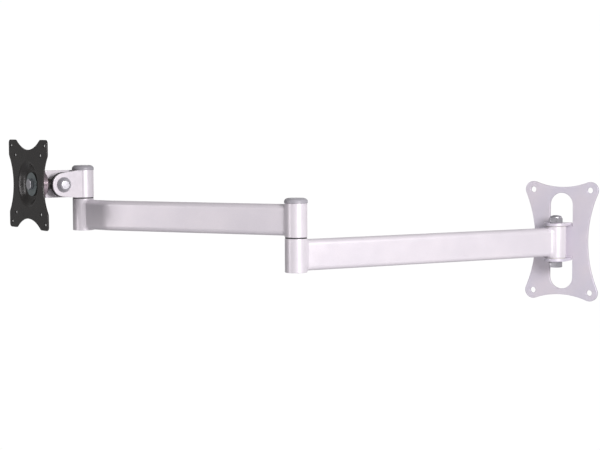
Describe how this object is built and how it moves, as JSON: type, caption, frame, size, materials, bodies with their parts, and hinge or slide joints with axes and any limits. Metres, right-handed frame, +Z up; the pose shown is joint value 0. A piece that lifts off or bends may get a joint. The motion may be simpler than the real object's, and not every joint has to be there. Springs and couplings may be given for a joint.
{
  "type": "full motion tv wall mount",
  "caption": "Wall mount for a small screen: lobed wall plate, two-part swinging arm, and a display plate that swivels, tilts and turns.",
  "frame": {"origin": "centre of the wall plate's back face, where it lies on the wall", "axes": "+Z up, +Y into the wall, so the arm reaches out along -Y; +X to the right of someone facing the wall"},
  "size_m": [0.6471, 0.4989, 0.224],
  "materials": {
    "arm_paint": "silver powder paint, satin, fine metallic grain",
    "plate_paint": "silver powder paint, satin",
    "plated_steel": "zinc plated, satin",
    "dark_nylon": "matt",
    "white_nylon": "matt",
    "cap_plastic": "satin moulded grey",
    "black_paint": "satin black powder paint",
    "boss_metal": "turned, satin",
    "washer_steel": "plated, satin"
  },
  "bodies": {
    "wall_bracket": {"wall_plate": "plate_paint", "clevis_bolt": "plated_steel", "clevis_washer": "plated_steel", "clevis_nut": "plated_steel"},
    "rear_arm": {"rear_arm_tube": "arm_paint", "rear_wall_sleeve": "arm_paint", "rear_elbow_sleeve": "arm_paint", "wall_pivot_bushes": "white_nylon", "rear_elbow_bush": "white_nylon", "elbow_friction_washer": "dark_nylon", "elbow_bolt": "plated_steel", "elbow_bolt_washer": "plated_steel", "elbow_nut": "plated_steel", "elbow_bottom_plug": "dark_nylon"},
    "front_arm": {"front_arm_tube": "arm_paint", "front_elbow_sleeve": "arm_paint", "front_head_sleeve": "arm_paint", "front_elbow_bush": "white_nylon", "elbow_cap": "cap_plastic", "front_head_bush": "white_nylon", "head_friction_washer": "dark_nylon", "head_bolt": "plated_steel", "head_bolt_washer": "plated_steel", "head_nut": "plated_steel", "head_bottom_plug": "dark_nylon"},
    "head": {"head_sleeve": "arm_paint", "near_cheek": "arm_paint", "far_cheek": "arm_paint", "head_sleeve_bush": "white_nylon", "head_cap": "cap_plastic", "tilt_bolt": "plated_steel", "tilt_collar": "cap_plastic", "tilt_nut": "plated_steel", "tilt_nut_washer": "plated_steel"},
    "tilt_head": {"tilt_knuckle": "black_paint", "tilt_friction_washers": "dark_nylon", "rotation_boss": "boss_metal", "rotation_bolt": "plated_steel", "rotation_washer": "washer_steel", "rotation_friction_washer": "dark_nylon"},
    "display": {"display_plate": "black_paint"}
  },
  "joints": [
    {"name": "wall_swivel", "type": "hinge", "parent": "wall_bracket", "child": "rear_arm", "pos_m": [0, -0.023, 0], "axis": [0, 0, 1], "range_deg": [-60, 120]},
    {"name": "elbow", "type": "hinge", "parent": "rear_arm", "child": "front_arm", "pos_m": [-0.2, -0.36941, 0], "axis": [0, 0, -1], "range_deg": [-221, 119]},
    {"name": "head_swivel", "type": "hinge", "parent": "front_arm", "child": "head", "pos_m": [-0.51125, -0.40391, 0], "axis": [0, 0, 1], "range_deg": [-195.5, 44.5]},
    {"name": "tilt", "type": "hinge", "parent": "head", "child": "tilt_head", "pos_m": [-0.52407, -0.43486, 0.0835], "axis": [0.9239, -0.3827, 0], "range_deg": [-15, 15]},
    {"name": "plate_rotation", "type": "hinge", "parent": "tilt_head", "child": "display", "pos_m": [-0.54148, -0.47689, 0.085], "axis": [-0.3827, -0.9239, 0], "continuous": true}
  ]
}
